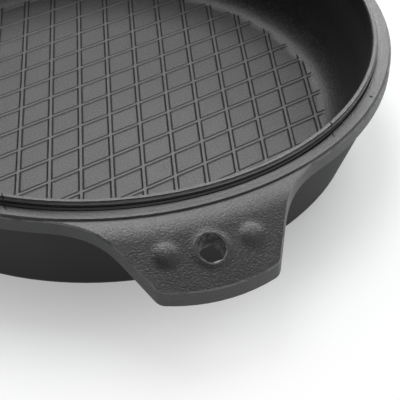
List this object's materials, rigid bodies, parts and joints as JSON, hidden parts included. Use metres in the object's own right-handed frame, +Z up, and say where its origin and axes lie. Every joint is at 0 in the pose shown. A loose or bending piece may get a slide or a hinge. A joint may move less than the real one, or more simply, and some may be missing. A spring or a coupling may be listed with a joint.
{
  "type": "roasting pan",
  "caption": "Round cast roasting pan with a diamond grid of ribs on its floor and a rim ring that carries two opposite wing handles with hanging holes.",
  "frame": {"origin": "middle of the underside, on the surface that the pan stands on", "axes": "+Z up out of the pan, +Y towards one of the two wing handles, -Y towards the other"},
  "size_m": [0.3014, 0.37, 0.0593],
  "materials": {
    "pan_shell": "matte",
    "rim_ring": "coarse matte"
  },
  "bodies": {
    "root": {"pan_shell": "pan_shell", "rim_ring": "rim_ring"}
  },
  "joints": []
}
